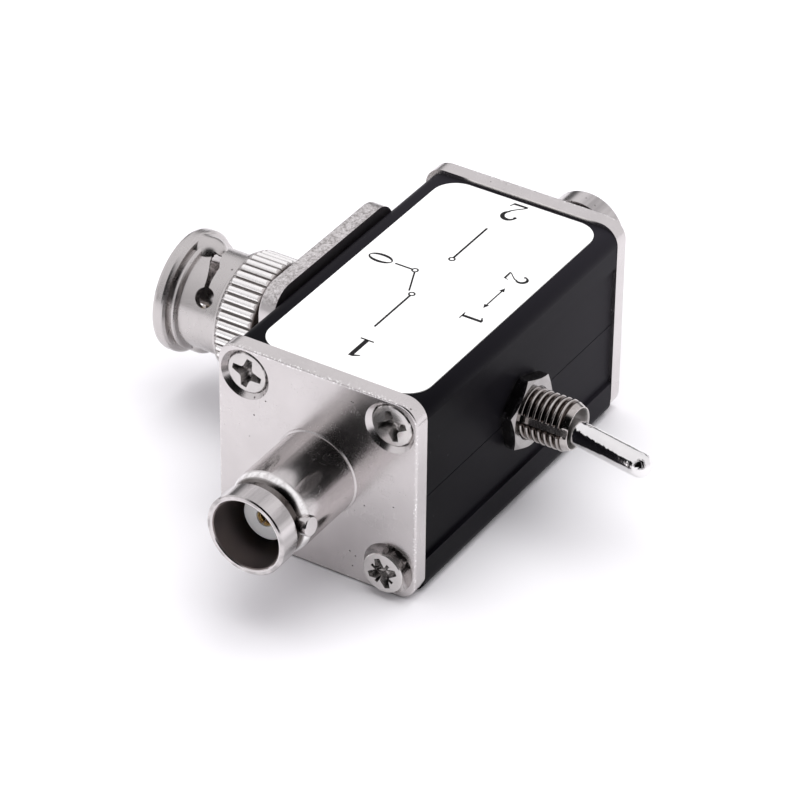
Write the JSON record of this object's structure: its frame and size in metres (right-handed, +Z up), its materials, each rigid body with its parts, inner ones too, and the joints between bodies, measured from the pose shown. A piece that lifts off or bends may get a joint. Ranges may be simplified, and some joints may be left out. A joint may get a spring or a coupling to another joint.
{
  "type": "coaxial antenna switch",
  "caption": "Small coaxial antenna selector: black split box case with a bayonet socket on each end plate, a bayonet plug on one side and a toggle lever on the other.",
  "frame": {"origin": "on the surface it stands on, under the crossing of the socket axis and the plug axis", "axes": "+Z up with the label on top; the sockets look along -X (socket 1) and +X (socket 2), the plug looks along +Y, the toggle along -Y"},
  "size_m": [0.0716, 0.0615, 0.025],
  "materials": {
    "case_black": "black anodised, satin",
    "label_white": "printed vinyl film, satin",
    "nickel": "nickel-plated brass, satin turned",
    "screw_nickel": "nickel-plated steel",
    "ptfe": "white PTFE, waxy",
    "gold": "gold-plated, bright",
    "chrome_lever": "bright chrome plating",
    "toggle_nickel": "bright nickel plating",
    "spring_steel": "bare spring steel",
    "seal_rubber": "red silicone",
    "phenolic": "moulded phenolic, brown",
    "silver_contact": "silver-plated brass",
    "wire_red": "red wire insulation",
    "wire_white": "white wire insulation",
    "wire_tinned": "tinned copper wire"
  },
  "bodies": {
    "case": {"upper_case_shell": "case_black", "lower_case_shell": "case_black", "top_label": "label_white", "jack1_screws": "screw_nickel", "jack2_screws": "screw_nickel", "jack1_body": "nickel", "jack2_body": "nickel", "jack1_insulator": "ptfe", "jack2_insulator": "ptfe", "jack1_contact": "gold", "jack2_contact": "gold", "plug_body": "nickel", "plug_insulator": "ptfe", "plug_pin": "gold", "plug_screws": "screw_nickel", "plug_gasket": "seal_rubber", "plug_retaining_ring": "spring_steel", "plug_wave_spring": "spring_steel", "toggle_frame": "toggle_nickel", "toggle_lock_washer": "toggle_nickel", "toggle_nut": "toggle_nickel", "toggle_base": "phenolic", "terminal_common": "silver_contact", "terminal_throw_a": "silver_contact", "terminal_throw_b": "silver_contact", "jack1_wire": "wire_red", "jack2_wire": "wire_white", "plug_wire": "wire_tinned"},
    "lever": {"toggle_lever": "chrome_lever", "toggle_plunger": "spring_steel", "toggle_plunger_spring": "spring_steel"},
    "rocker": {"contact_rocker": "silver_contact"},
    "nut_slide": {"plug_thrust_washer": "spring_steel"},
    "nut": {"coupling_nut": "nickel"}
  },
  "joints": [
    {"name": "toggle", "type": "hinge", "parent": "case", "child": "lever", "pos_m": [0, -0.0165, 0.0125], "axis": [0, 0, 1], "range_deg": [0, 21.2]},
    {"name": "contact_rock", "type": "hinge", "parent": "case", "child": "rocker", "pos_m": [0, -0.0061, 0.0125], "axis": [0, 0, 1], "range_deg": [-19, 0]},
    {"name": "nut_pull", "type": "slide", "parent": "case", "child": "nut_slide", "axis": [0, 1, 0], "range_m": [0, 0.0008], "stiffness_N_per_m": 4000, "springref_m": -0.0005, "deforming": ["plug_wave_spring"]},
    {"name": "nut_turn", "type": "hinge", "parent": "nut_slide", "child": "nut", "pos_m": [0, 0.025, 0.0125], "axis": [0, 1, 0], "continuous": true}
  ],
  "couplings": [
    {"joint": "contact_rock", "follows": "toggle", "ratio": -0.896}
  ]
}
